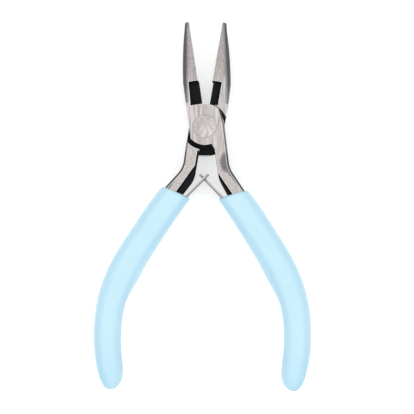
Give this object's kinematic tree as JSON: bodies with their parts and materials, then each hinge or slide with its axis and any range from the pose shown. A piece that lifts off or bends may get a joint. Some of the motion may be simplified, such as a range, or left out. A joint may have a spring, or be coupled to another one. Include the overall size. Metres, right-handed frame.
{
  "type": "jewellery pliers",
  "caption": "Small spring-loaded jewellery pliers with half-round jaws, a side cutter at their root, a lapped riveted joint, linked leaf springs and dipped soft grips.",
  "frame": {"origin": "on the pivot's axis, at the back face of the lapped joint", "axes": "+Y along the jaws away from the handles, +X to the right seen from the front, +Z out of the front face, which shows the front lever's boss"},
  "size_m": [0.0736, 0.1248, 0.0104],
  "materials": {
    "ground_steel": "ground faces with fine lengthwise lines, dark recesses and bevels",
    "rivet_steel": "ground flush",
    "spring_steel": "bright rolled spring steel",
    "soft_grip": "semi-matt dipped vinyl, pale sky blue"
  },
  "bodies": {
    "rear_side": {"rear_lever": "ground_steel", "pivot_rivet": "rivet_steel", "left_leaf_spring": "spring_steel", "left_spring_rivet": "rivet_steel", "left_grip": "soft_grip"},
    "front_side": {"front_lever": "ground_steel", "right_leaf_spring": "spring_steel", "right_spring_rivet": "rivet_steel", "right_grip": "soft_grip"}
  },
  "joints": [
    {"name": "pivot", "type": "hinge", "parent": "rear_side", "child": "front_side", "pos_m": [0, 0, 0], "axis": [0, 0, 1], "range_deg": [-18, 3], "stiffness_Nm_per_rad": 1.2, "deforming": ["left_leaf_spring", "right_leaf_spring"]}
  ]
}
